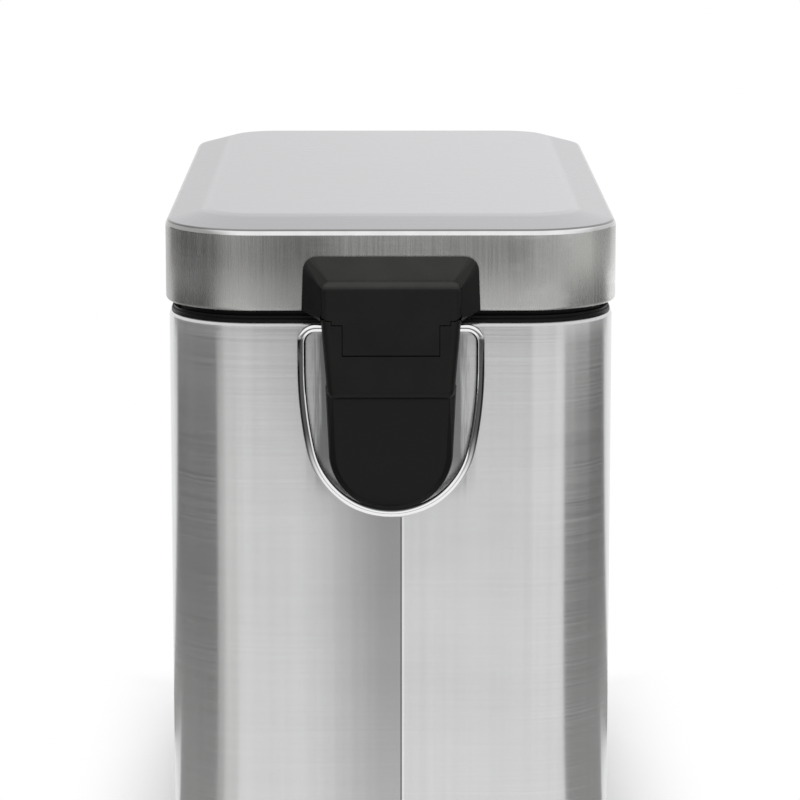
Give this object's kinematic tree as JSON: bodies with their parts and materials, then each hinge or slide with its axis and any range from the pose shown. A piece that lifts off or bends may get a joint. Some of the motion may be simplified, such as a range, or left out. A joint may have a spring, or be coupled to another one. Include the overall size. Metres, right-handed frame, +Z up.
{
  "type": "push top countertop bin",
  "caption": "Slim rectangular bin with a brushed steel body, latched push-to-open lid on a rear hinge, wire carry handle and lift-out inner bucket.",
  "frame": {"origin": "middle of the bin's outline seen from above, on the surface that it stands on", "axes": "+Z up, +Y towards the lid's hinge at the back, +X to the right seen from the front"},
  "size_m": [0.1928, 0.3748, 0.3],
  "materials": {
    "body_steel": "fine horizontal brushing",
    "lid_steel": "fine brushing, lightly scuffed",
    "chrome_wire": "bright chrome plating",
    "bail_wire": "bright zinc plating",
    "zinc_steel": "plain zinc-plated sheet",
    "screw_steel": "zinc-plated",
    "pin_steel": "ground",
    "spring_steel": "drawn spring wire",
    "hinge_plastic": "fine moulded texture",
    "collar_plastic": "moulded",
    "base_plastic": "moulded",
    "latch_plastic": "moulded",
    "liner_plastic": "moulded",
    "bucket_plastic": "moulded",
    "foot_rubber": "matt"
  },
  "bodies": {
    "bin": {"body_shell": "body_steel", "base_tray": "base_plastic", "base_feet": "foot_rubber", "top_collar": "collar_plastic", "bucket_ring": "collar_plastic", "hinge_housing": "hinge_plastic", "backing_plate": "zinc_steel", "housing_screws": "screw_steel", "hinge_pin": "pin_steel", "lid_spring": "spring_steel", "latch_case": "latch_plastic", "latch_case_screws": "screw_steel", "latch_pin": "pin_steel", "latch_spring": "spring_steel"},
    "lid": {"lid_shell": "lid_steel", "lid_liner": "liner_plastic", "lid_bracket": "hinge_plastic", "lid_bracket_screws": "screw_steel", "lid_bumpers": "foot_rubber", "striker": "zinc_steel", "striker_screws": "screw_steel"},
    "handle": {"carry_handle": "chrome_wire"},
    "latch": {"latch_hook": "latch_plastic"},
    "bucket": {"inner_bucket": "bucket_plastic"},
    "bail": {"bucket_handle": "bail_wire", "bucket_grip": "bucket_plastic"}
  },
  "joints": [
    {"name": "lid_hinge", "type": "hinge", "parent": "bin", "child": "lid", "pos_m": [0, 0.18145, 0.25035], "axis": [-1, 0, 0], "range_deg": [-0.4, 80], "stiffness_Nm_per_rad": 1, "springref_deg": 57.3},
    {"name": "handle_swing", "type": "hinge", "parent": "bin", "child": "handle", "pos_m": [0, 0.18055, 0.2547], "axis": [-1, 0, 0], "range_deg": [-150, 0]},
    {"name": "latch_release", "type": "hinge", "parent": "bin", "child": "latch", "pos_m": [0, -0.18005, 0.252], "axis": [-1, 0, 0], "range_deg": [0, 12], "stiffness_Nm_per_rad": 0.02, "springref_deg": -11.46, "deforming": ["latch_spring"]},
    {"name": "bucket_lift", "type": "slide", "parent": "bin", "child": "bucket", "axis": [0, 0, 1], "range_m": [0, 0.02]},
    {"name": "bucket_handle_turn", "type": "hinge", "parent": "bucket", "child": "bail", "pos_m": [0, -0.00595, 0.256], "axis": [-1, 0, 0], "range_deg": [0, 15]}
  ]
}
